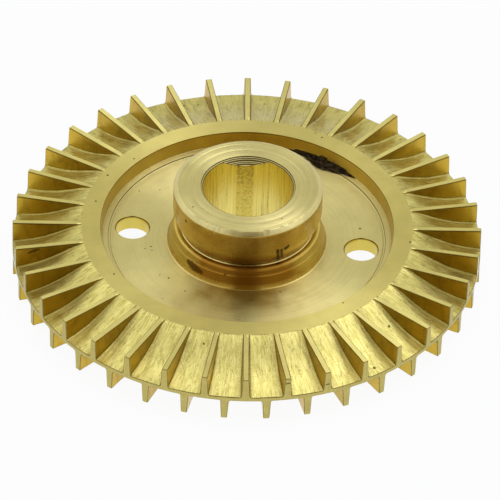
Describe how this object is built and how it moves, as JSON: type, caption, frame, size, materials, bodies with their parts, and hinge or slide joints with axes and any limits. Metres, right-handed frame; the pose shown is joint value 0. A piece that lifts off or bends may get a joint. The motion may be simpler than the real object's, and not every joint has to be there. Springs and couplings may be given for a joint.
{
  "type": "pump impeller",
  "caption": "Cast brass impeller of a peripheral pump: straight radial blades on both faces of a thin web, turned recess with through holes, hub with a D-shaped bore.",
  "frame": {"origin": "on the bore axis, in the plane of the lower boss face and of the lower blade edges", "axes": "+Z along the bore axis towards the hub end, +Y along the first upper blade, near the flat of the bore"},
  "size_m": [0.063, 0.063, 0.0136],
  "materials": {
    "brass": "as cast between the blades, turned on the land, recess and hub"
  },
  "bodies": {
    "root": {"impeller": "brass"}
  },
  "joints": []
}
